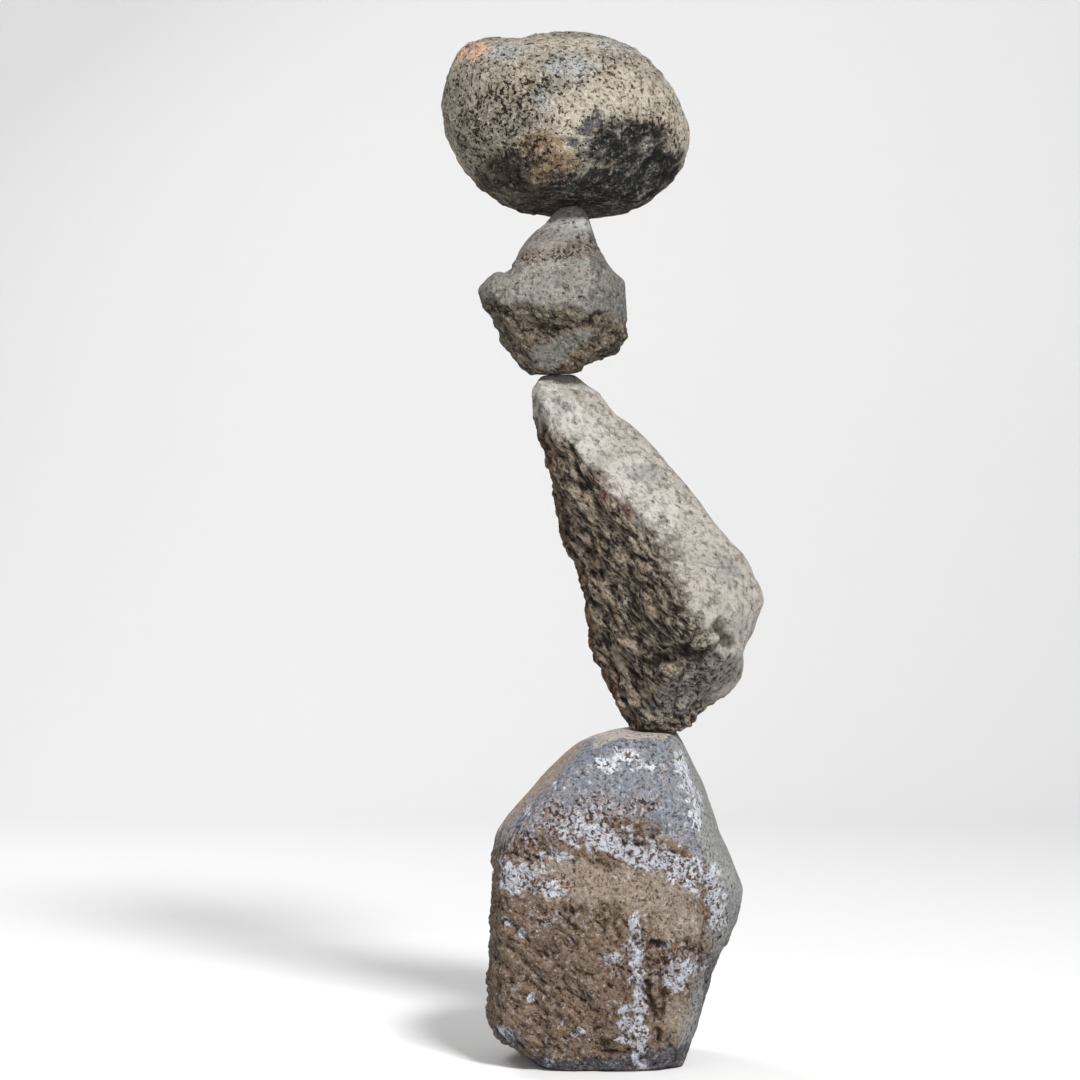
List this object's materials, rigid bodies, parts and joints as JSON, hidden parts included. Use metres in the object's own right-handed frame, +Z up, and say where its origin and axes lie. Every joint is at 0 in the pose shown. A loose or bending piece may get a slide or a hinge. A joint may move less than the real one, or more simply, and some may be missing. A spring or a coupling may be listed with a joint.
{
  "type": "balanced stone stack",
  "caption": "Tall cairn of natural stones balanced on one another: a blocky base, a leaning wedge, a small angular stone and a rounded, pitted boulder on top.",
  "frame": {"origin": "on the ground, under the middle of the stack's own box", "axes": "+Z up the stack, -Y towards the viewer of the picture, +X to the viewer's right"},
  "size_m": [0.258, 0.1988, 0.8238],
  "materials": {
    "base_stone": "rough, brown and blue-grey with white mineral crust",
    "wedge_stone": "rough, weathered beige-grey on one side and torn dark brown on the other",
    "small_stone": "rough, grey with a brown broken underside",
    "top_boulder": "rough and pitted, tan with dark mottles"
  },
  "bodies": {
    "root": {"base_stone": "base_stone", "wedge_stone": "wedge_stone", "small_stone": "small_stone", "top_boulder": "top_boulder"}
  },
  "joints": []
}
